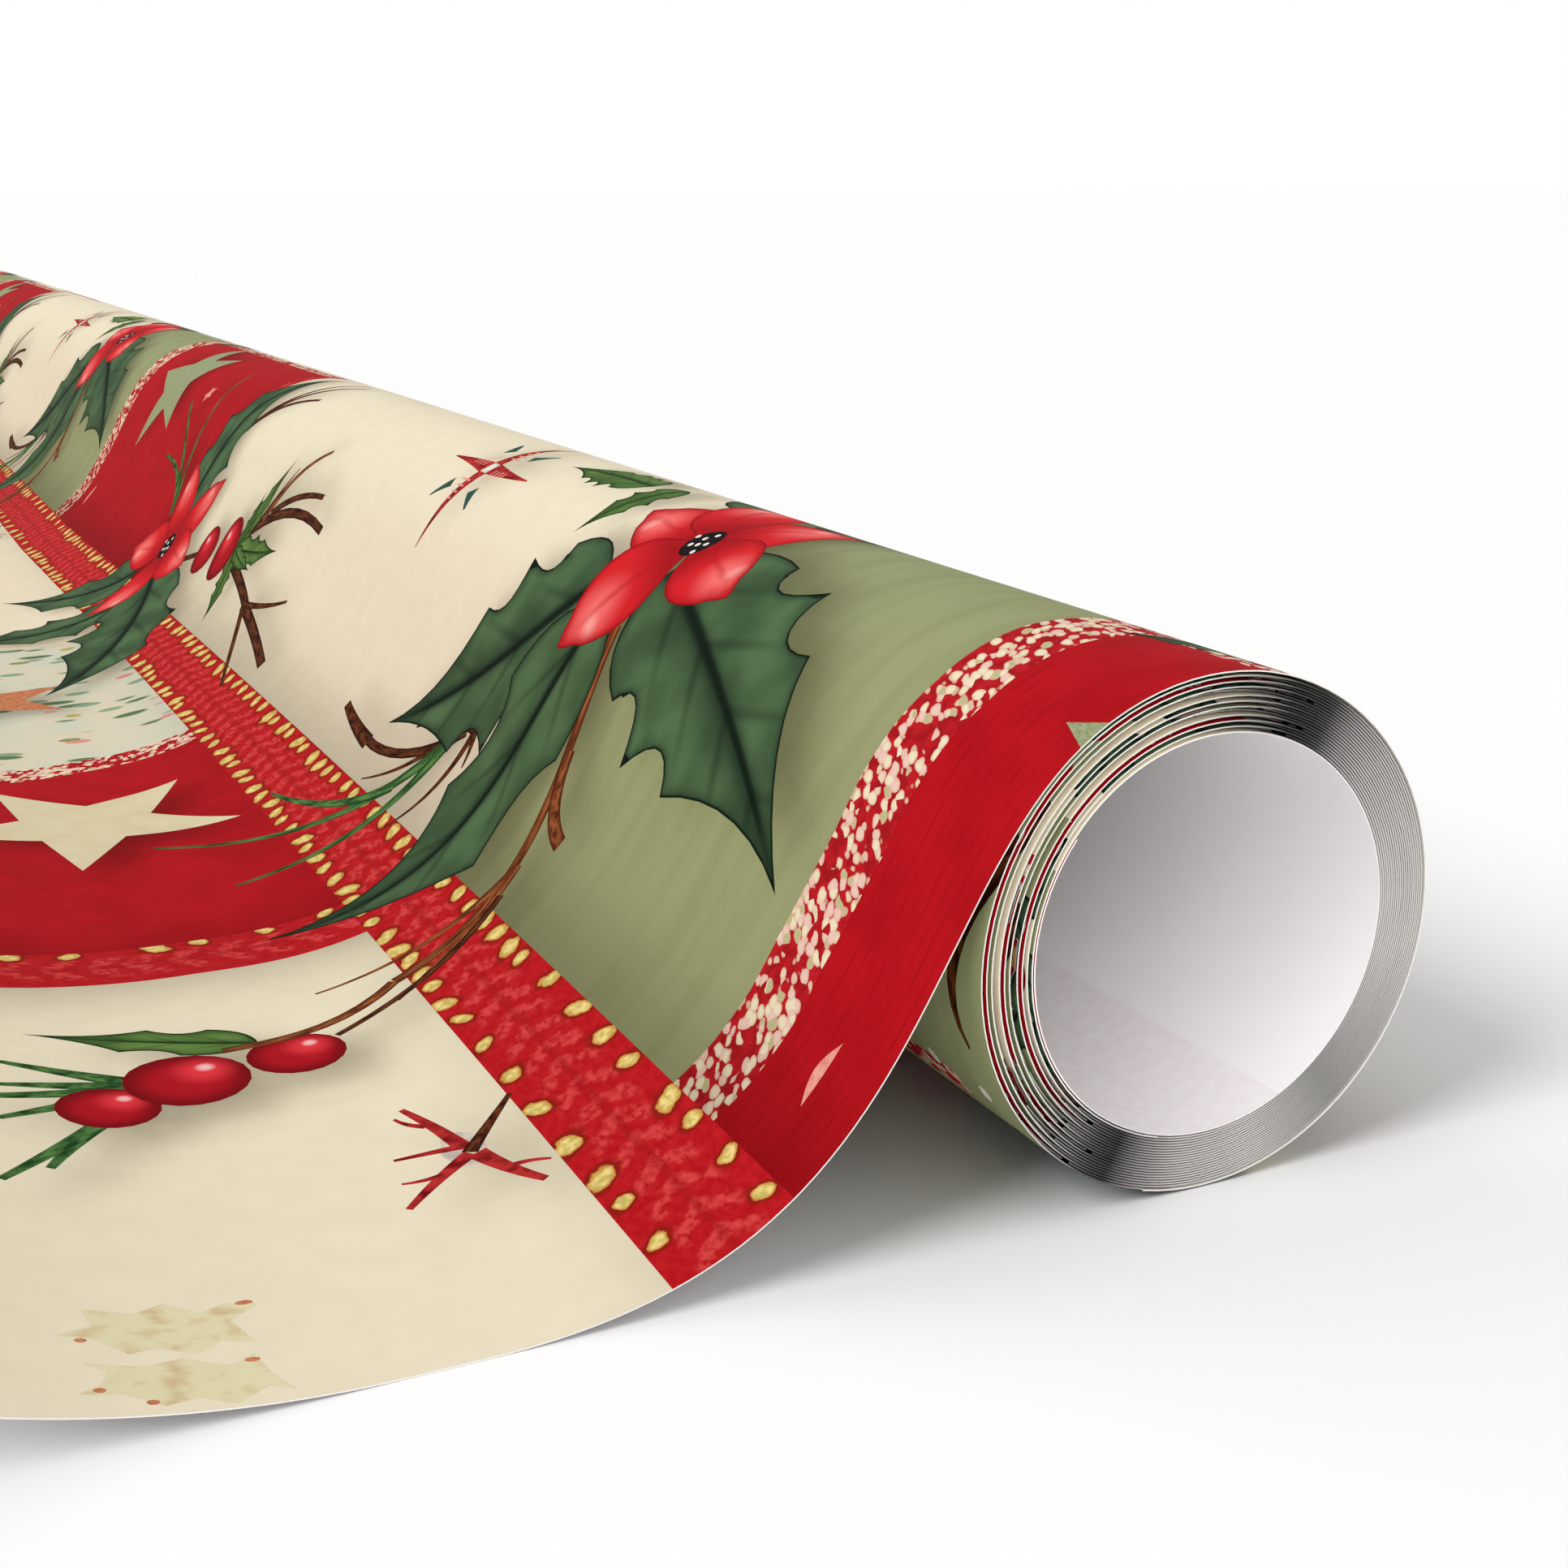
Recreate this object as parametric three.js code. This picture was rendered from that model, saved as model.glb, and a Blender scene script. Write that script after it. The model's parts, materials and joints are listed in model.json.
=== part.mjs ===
// A coreless roll of gift wrapping paper, partly unrolled: millimetres, +Z up, +Y along the roll's
// axis, the loose sheet lying towards -X. The origin is at the bottom centre of the whole box.
// The web of paper is one strip wound on itself; each stretch that moves by itself is its own solid.
import * as THREE from "three";

// ---- driving dimensions (mm, degrees) ----
const WEB_WIDTH = 762; // a 30 inch web: the roll's length
const PAPER = 0.1; // thickness of 90 g/m2 coated paper
const ROLL_RADIUS = 18.5; // outside of the outermost wrap
const HOLLOW_RADIUS = 14.19; // wall of the open middle; there is no cardboard core
const COIL_TURNS = 21; // full turns under the outermost wrap
const WRAP_SLACK = 0.12; // radial clearance that lets the coil turn inside the wrap
const FACET = 7.5; // degrees of arc per flat facet
const SEAM_ANGLE = -105; // where each turn hands over to the next, just left of the bottom line
const LEAVE_ANGLE = 135; // where the web leaves the roll, up and to the left
const WRAP_STRETCHES = { wrap_under: -22.5, wrap_side: 60, wrap_over: LEAVE_ANGLE }; // end angles
const SEAM_GAP = 0.3; // gap left between two stretches of the web

const LEAD_PULL_START = 0.77 * ROLL_RADIUS; // how long the web keeps the roll's tangent
const LEAD_PULL_END = 1.5 * ROLL_RADIUS; // how early it flattens out towards the table
const TOUCH_X = -2.8 * ROLL_RADIUS; // where it first lies flat
const LAID_LENGTH = 0.25 * ROLL_RADIUS; // the strip that lies flat on the table
const LEAD_FACETS = 22;

const CURL_RADIUS = 4.07 * ROLL_RADIUS; // the loose end's own curl, left from being wound
const CURL_LENGTH = 26; // curls at that radius this far
const EASE_LENGTH = 16; // then straightens over this length
const FREE_LENGTH = 75; // from the flat strip to the cut edge
const FREE_FACETS = 20;

// ---- paths: each is a list of { point, normal }, the normal on the printed side ----
const DEGREES = Math.PI / 180;
const AXIS_HEIGHT = ROLL_RADIUS;
const MIDDLE = PAPER / 2;

function station(x, z, normalX, normalZ) {
  return {
    point: new THREE.Vector2(x, z),
    normal: new THREE.Vector2(normalX, normalZ).normalize(),
  };
}

// An arc or spiral round the roll's axis from one angle up to another, with a seam gap at each end.
function woundPath(fromAngle, toAngle, radiusAt) {
  const facets = Math.round((toAngle - fromAngle) / FACET);
  const trim = SEAM_GAP / 2 / ROLL_RADIUS / DEGREES;
  return Array.from({ length: facets + 1 }, (_, i) => {
    let angle = fromAngle + i * FACET;
    if (i === 0) angle += trim;
    if (i === facets) angle -= trim;
    const [c, s] = [Math.cos(angle * DEGREES), Math.sin(angle * DEGREES)];
    const radius = radiusAt(angle);
    return station(radius * c, AXIS_HEIGHT + radius * s, c, s);
  });
}

// The S-shaped run from the roll down to the table.
function leadPath() {
  const radius = ROLL_RADIUS - MIDDLE;
  const [c, s] = [Math.cos(LEAVE_ANGLE * DEGREES), Math.sin(LEAVE_ANGLE * DEGREES)];
  const curve = new THREE.CubicBezierCurve(
    new THREE.Vector2(radius * c, AXIS_HEIGHT + radius * s),
    new THREE.Vector2(
      radius * c - LEAD_PULL_START * s,
      AXIS_HEIGHT + radius * s + LEAD_PULL_START * c,
    ),
    new THREE.Vector2(TOUCH_X + LEAD_PULL_END, MIDDLE),
    new THREE.Vector2(TOUCH_X, MIDDLE),
  );
  const trim = SEAM_GAP / 2 / curve.getLength();
  return Array.from({ length: LEAD_FACETS + 1 }, (_, i) => {
    const along = Math.min(Math.max(i / LEAD_FACETS, trim), 1 - trim);
    const { x, y } = curve.getPointAt(along);
    const tangent = curve.getTangentAt(along);
    return station(x, y, tangent.y, -tangent.x);
  });
}

function laidPath() {
  return [
    station(TOUCH_X - SEAM_GAP / 2, MIDDLE, 0, 1),
    station(TOUCH_X - LAID_LENGTH + SEAM_GAP / 2, MIDDLE, 0, 1),
  ];
}

// How steeply the loose end rises at a distance along it.
function freeSlope(distance) {
  const curled = Math.min(distance, CURL_LENGTH);
  const eased = Math.min(Math.max(distance - CURL_LENGTH, 0), EASE_LENGTH);
  return (curled + eased - (eased * eased) / (2 * EASE_LENGTH)) / CURL_RADIUS;
}

function freePath() {
  const step = (FREE_LENGTH - SEAM_GAP / 2) / FREE_FACETS;
  let [x, z] = [TOUCH_X - LAID_LENGTH - SEAM_GAP / 2, MIDDLE];
  return Array.from({ length: FREE_FACETS + 1 }, (_, i) => {
    const slope = freeSlope(i * step);
    const here = station(x, z, Math.sin(slope), Math.cos(slope));
    const middle = freeSlope((i + 0.5) * step);
    x -= step * Math.cos(middle);
    z += step * Math.sin(middle);
    return here;
  });
}

// ---- solids: a path thickened by the paper and drawn out across the web's width ----
function paperSolid(name, path, look) {
  const side = (sign) => path.map(({ point, normal }) =>
    point.clone().addScaledVector(normal, sign * MIDDLE));
  const outline = new THREE.Shape([...side(1), ...side(-1).reverse()]);
  const geometry = new THREE.ExtrudeGeometry(outline, { depth: WEB_WIDTH, bevelEnabled: false });
  geometry.translate(0, 0, -WEB_WIDTH / 2);
  geometry.rotateX(Math.PI / 2);
  const mesh = new THREE.Mesh(geometry, new THREE.MeshStandardMaterial(look));
  mesh.name = name;
  return mesh;
}

const PRINTED = { color: 0xe8e0d2, roughness: 0.45, metalness: 0 };
const WOUND = { color: 0xa9b3a2, roughness: 0.5, metalness: 0 };

// ---- the coil: full turns, numbered from the innermost outwards ----
const innermost = HOLLOW_RADIUS + MIDDLE;
const outermost = ROLL_RADIUS - PAPER - WRAP_SLACK - MIDDLE;
const pitch = (outermost - innermost) / COIL_TURNS;

function coilTurn(number) {
  const radiusAt = (angle) => innermost + pitch * (number - 1 + (angle - SEAM_ANGLE) / 360);
  const path = woundPath(SEAM_ANGLE, SEAM_ANGLE + 360, radiusAt);
  return paperSolid(`turn_${String(number).padStart(2, "0")}`, path, WOUND);
}

const coil = new THREE.Group();
for (let number = 1; number <= COIL_TURNS; number += 1) coil.add(coilTurn(number));

// ---- the outermost wrap, in three stretches from the bottom round to the top ----
const wrap = new THREE.Group();
let stretchStart = SEAM_ANGLE;
for (const [name, stretchEnd] of Object.entries(WRAP_STRETCHES)) {
  const path = woundPath(stretchStart, stretchEnd, () => ROLL_RADIUS - MIDDLE);
  wrap.add(paperSolid(name, path, PRINTED));
  stretchStart = stretchEnd;
}

// ---- the loose sheet that leaves it ----
const sheet = new THREE.Group();
sheet.add(
  paperSolid("lead_out", leadPath(), PRINTED),
  paperSolid("laid_sheet", laidPath(), PRINTED),
  paperSolid("free_end", freePath(), PRINTED),
);

const roll = new THREE.Group();
roll.add(wrap, coil, sheet);

// The roll's axis is at x = 0 above; the finished part is centred on its own box.
const box = new THREE.Box3().setFromObject(roll);
roll.position.x = -(box.min.x + box.max.x) / 2;

export default roll;
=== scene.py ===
"""A half-unrolled roll of Christmas wrapping paper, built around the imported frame.

Every visible piece is one thin printed sheet of paper: the outer wrap, the stretch that leaves the roll, the
free end, and the turns of the coil. The print is drawn once, in millimetres on the flat paper (u runs along
the web, v across it from the near end), and each piece is cut out of that print and rolled to its shape.
"""

import json
import math
from collections import namedtuple

import bpy
import numpy as np
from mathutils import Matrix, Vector
from mathutils.geometry import delaunay_2d_cdt

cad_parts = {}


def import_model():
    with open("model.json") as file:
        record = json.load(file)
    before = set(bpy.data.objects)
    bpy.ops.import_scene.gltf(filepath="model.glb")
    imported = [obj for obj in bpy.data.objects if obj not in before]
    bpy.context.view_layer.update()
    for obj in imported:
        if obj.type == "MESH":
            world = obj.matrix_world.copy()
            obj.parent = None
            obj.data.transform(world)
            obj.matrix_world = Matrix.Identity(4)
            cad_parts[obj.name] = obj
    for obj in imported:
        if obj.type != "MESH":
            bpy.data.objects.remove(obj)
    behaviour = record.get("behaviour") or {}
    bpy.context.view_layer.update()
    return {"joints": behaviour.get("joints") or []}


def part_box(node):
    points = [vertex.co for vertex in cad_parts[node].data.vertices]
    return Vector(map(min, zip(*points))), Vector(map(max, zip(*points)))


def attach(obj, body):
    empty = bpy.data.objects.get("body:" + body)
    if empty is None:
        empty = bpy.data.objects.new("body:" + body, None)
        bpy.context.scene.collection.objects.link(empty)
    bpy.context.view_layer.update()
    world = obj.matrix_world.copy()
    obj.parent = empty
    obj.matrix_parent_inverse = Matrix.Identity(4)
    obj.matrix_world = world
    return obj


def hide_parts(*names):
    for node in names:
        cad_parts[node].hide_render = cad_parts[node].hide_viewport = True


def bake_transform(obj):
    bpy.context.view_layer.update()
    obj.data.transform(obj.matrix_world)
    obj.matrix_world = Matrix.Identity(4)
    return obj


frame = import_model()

MM = 0.001
TINY = 1e-12  # keeps a division from being by zero
MERGE = 1e-4  # corners of the print closer than this, in millimetres, become one

# ---------------- sizes taken from the frame

JOINTS = {joint["name"]: joint for joint in frame["joints"]}
AXIS_X, _, AXIS_Z = (value / MM for value in JOINTS["roll_spin"]["pos_m"])
COIL_LOW, COIL_HIGH = (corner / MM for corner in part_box("turn_21"))
NEAR_Y = COIL_LOW.y
WEB_WIDTH = COIL_HIGH.y - COIL_LOW.y
ROLL_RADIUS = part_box("wrap_over")[1].z / MM - AXIS_Z

# ---------------- the path that the paper follows

PAPER = 0.1
WRAP_MID = ROLL_RADIUS - PAPER / 2
COIL_TURNS = 21
COIL_INNERMOST = 14.24
COIL_PITCH = 0.19
TURN_FACETS = 90
LAP_FACETS = 28
FACET_SAMPLES = 8
SEAM_ANGLE = -105
SEAM_HUG = 0.12
SEAM_EASE = 60
LEAVE_ANGLE = 135
LEAD_PULL_START = 0.77 * ROLL_RADIUS
LEAD_PULL_END = 1.5 * ROLL_RADIUS
TOUCH_X = -2.8 * ROLL_RADIUS
LAID_LENGTH = 0.25 * ROLL_RADIUS
CURL_RADIUS = 4.07 * ROLL_RADIUS
CURL_LENGTH = 26
EASE_LENGTH = 16
FREE_LENGTH = 75
WRAP_STEPS, LEAD_STEPS, FREE_STEPS = 960, 1200, 750

def joined(*parts):
    return np.concatenate(parts)


def columns(*parts):
    return np.stack(parts, 1)


Path = namedtuple("Path", "u x z")


def arc_lengths(x, z):
    return joined([0], np.cumsum(np.hypot(np.diff(x), np.diff(z))))


def smooth(share):
    share = np.clip(share, 0, 1)
    return share * share * (3 - 2 * share)


def wrap_path():
    """The outer wrap, from the seam, where it hugs the coil, up to u = 0, where the paper leaves the roll."""
    turned = np.linspace(SEAM_ANGLE, LEAVE_ANGLE, WRAP_STEPS + 1)
    angle = np.radians(turned)
    radius = WRAP_MID - SEAM_HUG * (1 - smooth((turned - SEAM_ANGLE) / SEAM_EASE))
    x, z = radius * np.cos(angle), radius * np.sin(angle)
    length = arc_lengths(x, z)
    return Path(length - length[-1], AXIS_X + x, AXIS_Z + z)


def lead_path():
    """The free span from the roll down to the table: one cubic curve."""
    leave = math.radians(LEAVE_ANGLE)
    start = np.array([WRAP_MID * math.cos(leave), AXIS_Z + WRAP_MID * math.sin(leave)])
    heading = np.array([-math.sin(leave), math.cos(leave)])
    touch = np.array([TOUCH_X, PAPER / 2])
    handles = [start, start + LEAD_PULL_START * heading, touch + [LEAD_PULL_END, 0], touch]
    t = np.linspace(0, 1, LEAD_STEPS + 1)
    x, z = sum(math.comb(3, k) * np.outer(point, (1 - t) ** (3 - k) * t**k)
               for k, point in enumerate(handles))
    return Path(arc_lengths(x, z), AXIS_X + x, z)


def free_path():
    """The strip that lies flat and the free end, which keeps some of the roll's curl and lifts."""
    d = np.linspace(0, FREE_LENGTH, FREE_STEPS + 1)
    eased = np.clip(d - CURL_LENGTH, 0, EASE_LENGTH)
    slope = (np.minimum(d, CURL_LENGTH) + eased - eased**2 / (2 * EASE_LENGTH)) / CURL_RADIUS
    spacing = d[1] - d[0]
    middle = (slope[1:] + slope[:-1]) / 2
    x = AXIS_X + TOUCH_X - LAID_LENGTH - joined([0], np.cumsum(spacing * np.cos(middle)))
    z = PAPER / 2 + joined([0], np.cumsum(spacing * np.sin(middle)))
    x = joined([AXIS_X + TOUCH_X], x)
    z = joined([PAPER / 2], z)
    return Path(lead_path().u[-1] + joined([0], LAID_LENGTH + d), x, z)


def web_path():
    """Wrap, lead and free end as one path, so that neighbouring pieces meet without a kink."""
    paths = [wrap_path(), lead_path(), free_path()]
    return Path(*(np.concatenate([part[1:] if i else part for i, part in enumerate(parts)])
                  for parts in zip(*paths)))


def turn_path(number, end_u):
    """One turn of the coil, from seam to seam; its outer end lies at end_u on the print.
    The innermost turn laps a little further in, so that the web's end lies behind the roll's near side."""
    first = -LAP_FACETS if number == 1 else 0
    turned = np.arange(first * FACET_SAMPLES, TURN_FACETS * FACET_SAMPLES + 1)
    turned = turned / (TURN_FACETS * FACET_SAMPLES)
    angle = np.radians(SEAM_ANGLE + 360 * turned)
    radius = COIL_INNERMOST + COIL_PITCH * (number - 1 + turned)
    x, z = radius * np.cos(angle), radius * np.sin(angle)
    length = arc_lengths(x, z)
    return Path(end_u - length[-1] + length, AXIS_X + x, AXIS_Z + z)


def on_path(path, u):
    """Middle line and outward normal of the paper at each u."""
    tangent_x = np.gradient(path.x, path.u)
    tangent_z = np.gradient(path.z, path.u)
    x, z, tx, tz = (np.interp(u, path.u, values) for values in (path.x, path.z, tangent_x, tangent_z))
    size = np.hypot(tx, tz)
    return x, z, tz / size, -tx / size


# ---------------- shader building


def operation(name):
    """A math node's operation, as a method of its first operand."""
    return lambda one, *others: one.shader.node("Math", dict(enumerate([one, *others])), operation=name)[0]


class Value:
    """A number or colour that a material works out. Arithmetic on it adds math nodes."""

    def __init__(self, shader, socket):
        self.shader = shader
        self.socket = socket

    __add__ = __radd__ = operation("ADD")
    __mul__ = __rmul__ = operation("MULTIPLY")
    __sub__ = operation("SUBTRACT")
    __truediv__ = operation("DIVIDE")
    __abs__ = operation("ABSOLUTE")


sine, whole, fraction, sign, square_root = map(operation, ("SINE", "FLOOR", "FRACT", "SIGN", "SQRT"))
larger, smaller, is_above, is_below = map(operation, ("MAXIMUM", "MINIMUM", "GREATER_THAN", "LESS_THAN"))


def distance(x, y):
    return square_root(x * x + y * y)


def mix(factor, a, b, blend="MIX"):
    """Colour a where factor is 0, b where it is 1."""
    return factor.shader.node("Mix", {0: factor, 6: a, 7: b}, data_type="RGBA", blend_type=blend)[2]


def step(value, low, high):
    """0 below low, 1 above high, smooth between; low may be the larger."""
    return value.shader.node("MapRange", {0: value, 1: low, 2: high, 3: 0.0, 4: 1.0},
                             interpolation_type="SMOOTHSTEP")[0]


# Roughness, specular level and bump of the printed side, the back and the cut edge.
FRONT_SURFACE, BACK_SURFACE, EDGE_SURFACE = (0.52, 0.015, 0.25), (0.6, 0.3, 0.3), (0.8, 0.5, 0.0)
GRAIN_SCALE, GRAIN_DETAIL, GRAIN_DEPTH = 2.6, 4.0, 0.00004
SHADE_TINT = (0.37, 0.35, 0.32)
# The colour that the painted shade on the coil's near edges darkens towards.
EDGE_SHADE_TINT = (0.02, 0.02, 0.02)


class Shader:
    """A node material under construction. Inputs are Values, plain numbers, or triples for colours."""

    def __init__(self, name):
        self.material = bpy.data.materials.new(name)
        self.material.use_nodes = True
        self.tree = self.material.node_tree
        self.surface = self.tree.nodes["Principled BSDF"].inputs

    def put(self, socket, value):
        if isinstance(value, Value):
            self.tree.links.new(value.socket, socket)
        elif isinstance(value, tuple):
            socket.default_value = (*value, 1)
        else:
            socket.default_value = value

    def node(self, kind, inputs, **settings):
        """Adds a node and returns all its outputs."""
        made = self.tree.nodes.new("ShaderNode" + kind)
        for key, value in settings.items():
            setattr(made, key, value)
        for key, value in inputs.items():
            self.put(made.inputs[key], value)
        return [Value(self, socket) for socket in made.outputs]

    def place(self, layer):
        """The two coordinates of a UV layer."""
        return self.node("SeparateXYZ", {0: self.node("UVMap", {}, uv_map=layer)[0]})[:2]

    def attribute(self, name):
        return self.node("Attribute", {}, attribute_name=name)[2]

    def cover(self, colour, roughness, specular):
        self.put(self.surface["Base Color"], colour)
        self.put(self.surface["Roughness"], roughness)
        self.put(self.surface["Specular IOR Level"], specular)
        return self.material

    def paper(self, colour, roughness, specular, bump):
        """A paper surface with a fine grain, and painted shade where the coil's edges shade each other."""
        if bump:
            grain = noise(*self.place("sheet"), GRAIN_SCALE, GRAIN_DETAIL)
            raised = self.node("Bump", {"Strength": bump, "Distance": GRAIN_DEPTH, "Height": grain})[0]
            self.put(self.surface["Normal"], raised)
        # Painted shade on the coil's near edges.
        edge_shaded = mix(self.attribute("edge_shade"), colour, EDGE_SHADE_TINT, "MULTIPLY")
        return self.cover(edge_shaded, roughness, specular)


def texture(kind, x, y, **inputs):
    return x.shader.node(kind, {"Vector": x.shader.node("CombineXYZ", {0: x, 1: y})[0], **inputs})


def noise(x, y, scale, detail=3.0):
    return texture("TexNoise", x, y, Scale=scale, Detail=detail)[0]


def cells(x, y, scale):
    """Scattered cells: the distance from a cell's middle, and two random numbers of its own."""
    away, colour = texture("TexVoronoi", x, y, Scale=scale)[:2]
    return away, *x.shader.node("SeparateColor", {0: colour})[:2]


def ink(name, paint, shaded):
    """A printed colour: paint(shader, u, v) gives its colour; the print's soft shadows darken it."""
    shader = Shader(name)
    colour = paint(shader, *shader.place("sheet"))
    if shaded:
        colour = mix(shader.attribute("shade"), colour, SHADE_TINT, "MULTIPLY")
    return shader.paper(colour, *FRONT_SURFACE)


def mottled(light, dark, scale=1.2, stretch=1.0, low=0.35, high=0.7):
    """A ground colour that drifts between two tones; stretch draws the patches out along u."""
    def paint(shader, u, v):
        return mix(step(noise(u / stretch, v, scale), low, high), light, dark)
    return paint


def corduroy(shader, u, v):
    """Deep red with fine wavering darker lines along u."""
    drift = noise(0.12 * u, 0.3 * v, 1.0)
    line = sine(5.0 * v + 5.0 * drift)
    streak = noise(0.35 * u, 2.2 * v, 1.0)
    faint = step(line, 0.0, 1.0) * step(streak, 0.35, 0.7)
    base = mottled((0.475, 0.0065, 0.012), (0.405, 0.005, 0.009), 0.16)(shader, u, v)
    return mix(0.5 * faint, base, (0.3, 0.003, 0.006))


TUFTS = 1.25
TUFT_SHARE = 0.73


def braid(shader, u, v):
    """A knitted trim: slanting cream tufts on red."""
    wobble = 0.8 * noise(u, v, 0.5)
    away, pick, tone = cells(0.35 * v + u + wobble, 0.8 * v + wobble, TUFTS)
    tuft = mix(step(tone, 0.5, 0.56), (0.84, 0.74, 0.52), (0.82, 0.56, 0.48))
    tuft = mix(step(tone, 0.84, 0.88), tuft, (0.5, 0.48, 0.24))
    tuft = mix(step(away, 0.25, 0.75), tuft, (0.7, 0.42, 0.31))
    red = mix(step(noise(u, v, 0.8), 0.4, 0.6), (0.36, 0.008, 0.012), (0.5, 0.012, 0.018))
    wanted = is_above(pick, 1 - TUFT_SHARE)
    return mix(step(away, 0.66, 0.56) * wanted, red, tuft)


FLECKS = 0.27


def confetti(shader, u, v):
    """Pale ground strewn with small green, red and yellow flecks."""
    colour = mix(step(noise(u, v, 0.09), 0.4, 0.6), (0.66, 0.66, 0.52), (0.72, 0.66, 0.5))
    for offset, fleck, stretch, rare in (
        (0.0, (0.12, 0.2, 0.09), 0.4, 0.55),
        (37.0, (0.7, 0.26, 0.22), 0.6, 0.72),
        (71.0, (0.26, 0.38, 0.24), 0.5, 0.6),
        (95.0, (0.52, 0.42, 0.1), 0.8, 0.86),
    ):
        away, pick, _ = cells(stretch * u + offset, v, FLECKS)
        near = step(away, 0.3, 0.22)
        colour = mix(near * step(pick, rare, rare + 0.01), colour, fleck)
    return colour


STITCH_PITCH = 6.0
CLOSE_PITCH = 3.6
CLOSE_FROM = 50  # from here on the stitches lie closer together
STITCH_INSET = 1.35
RIBBON_HALF = 4.75


def ribbon_cloth(along, across, rough):
    """Woven red, with two strands of paler threads down the middle."""
    side = abs(across)
    weave = sine(1.7 * (along + 0.8 * side) + 7.0 * rough)
    thread = noise(0.7 * along, across, 1.5)
    base = mix(step(thread, 0.3, 0.7), (0.42, 0.006, 0.01), (0.5, 0.012, 0.016))
    pale = step(weave, -0.6, 1.0) * step(thread, 0.3, 0.62) * step(side, 3.1, 2.1)
    base = mix(0.6 * pale, base, (0.74, 0.085, 0.078))
    return mix(0.5 * step(side, 0.55, 0.1), base, (0.34, 0.008, 0.01))


def stitch_distance(shader, along, across, rough):
    """How far the nearest stitch's middle is: each stitch has its own place, slant and size."""
    hand = sign(across)
    far = larger(along - CLOSE_FROM, 0.0)
    row = smaller(along, CLOSE_FROM) / STITCH_PITCH + far / CLOSE_PITCH + 0.23 * hand
    pitch = (CLOSE_PITCH - STITCH_PITCH) * is_above(far, 0.0) + STITCH_PITCH
    chance = shader.node("TexWhiteNoise", {"W": whole(row) + 0.37 * hand},
                         noise_dimensions="1D")[1]
    first, second, third = shader.node("SeparateColor", {0: chance})
    drop = (fraction(row) - (0.4 * first + 0.3)) * pitch
    reach = abs(across) - (0.5 * second + (RIBBON_HALF - STITCH_INSET))
    slant = reach * (1.2 * third - 0.5)
    size = 0.35 * first + 0.72
    return distance((drop + slant) * size, reach * size) + (0.9 * rough - 0.45)


def ribbon(shader, u, v, one_side=False):
    """A woven ribbon with gold stitches down both edges, or down one_side only."""
    along, across = shader.place("motif")
    rough = noise(along, across, 0.9)
    cloth = ribbon_cloth(along, across, rough)
    stitch = stitch_distance(shader, along, across, rough)
    gold = mix(step(noise(along, across, 1.3), 0.4, 0.62), (0.84, 0.66, 0.24), (0.55, 0.44, 0.12))
    gold = mix(step(stitch, 0.45, 0.9), gold, (0.55, 0.26, 0.05))
    if one_side:
        stitch = stitch + 9.0 * is_below(across, 0.0)
    rimmed = mix(step(stitch, 1.5, 1.0), cloth, (0.26, 0.01, 0.006))
    return mix(step(stitch, 0.95, 0.8), rimmed, gold)


def side_ribbon(shader, u, v):
    return ribbon(shader, u, v, True)


VEINS = 4.5
SOFT_RIM = 1.3


def leaf(light, dark, vein):
    """A painted leaf: lit in the middle of each half, dark along the midrib and softly dark to the margin."""
    def paint(shader, u, v):
        along, across = shader.place("motif")
        rim = shader.place("rim")[0]
        side = abs(across)
        soft = step(noise(u, v, 0.13, 1.0), 0.3, 0.7)
        colour = mix(0.62 * soft, light, dark)
        fold = step(across, 0.42, 0.0) * step(across, -0.1, 0.0) + step(side, 0.16, 0.0)
        colour = mix(0.6 * fold, colour, dark)
        rank = fraction(VEINS * along - 1.5 * side)
        ribs = step(abs(rank - 0.5), 0.16, 0.0) * step(side, 0.8, 0.2)
        colour = mix(0.38 * ribs, colour, vein)
        midrib = step(side, -0.07 * along + 0.1, 0.01)
        colour = mix(0.9 * midrib, colour, vein)
        colour = mix(0.72 * step(rim, SOFT_RIM, 0.1), colour, dark)
        return mix(step(rim, 0.38, 0.08), colour, vein)
    return paint


def petal(shader, u, v):
    """Red with a pink bloom towards the tip, a small glint, and deep red sides."""
    along, across = shader.place("motif")
    rim = shader.place("rim")[0]

    def near(at_along, at_across, wide, reach):
        return step(distance((along - at_along) * wide, across - at_across), reach, 0.0)

    colour = mix(step(along, 0.45, 0.0), (0.66, 0.015, 0.021), (0.32, 0.004, 0.008))
    colour = mix(0.95 * near(0.66, -0.12, 2.4, 0.86), colour, (0.95, 0.185, 0.17))
    colour = mix(0.7 * near(0.7, -0.3, 3.4, 0.34), colour, (0.96, 0.45, 0.4))
    side = abs(across + 0.16 * noise(u, v, 0.35))
    crease = step(side, 0.13, 0.0) * step(along, 0.95, 0.5)
    colour = mix(0.5 * crease, colour, (0.46, 0.006, 0.012))
    colour = mix(0.8 * step(rim, SOFT_RIM, 0.1), colour, (0.44, 0.006, 0.012))
    return mix(step(rim, 0.3, 0.05), colour, (0.24, 0.003, 0.006))


def berry(shader, u, v):
    """A round red berry: a soft highlight up one side, one glint and a dark rim."""
    along, across = shader.place("motif")
    centre = 2.0 * along - 1.0
    out = distance(centre, across)
    colour = mix(step(out, 0.45, 1.0), (0.43, 0.006, 0.014), (0.19, 0.002, 0.006))
    light = distance(centre + 0.3, across - 0.3)
    colour = mix(step(light, 0.66, 0.1), colour, (0.76, 0.038, 0.05))
    glint = distance(centre + 0.36, across - 0.42)
    return mix(step(glint, 0.2, 0.05), colour, (0.92, 0.5, 0.5))


def stalk(light, dark):
    """A twig or needle: darker along its sides, uneven along its length."""
    def paint(shader, u, v):
        along, across = shader.place("motif")
        patch = noise(6.0 * along, across, 1.3)
        return mix(step(patch, 0.35, 0.65) * step(abs(across), 0.9, 0.2), dark, light)
    return paint


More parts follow.
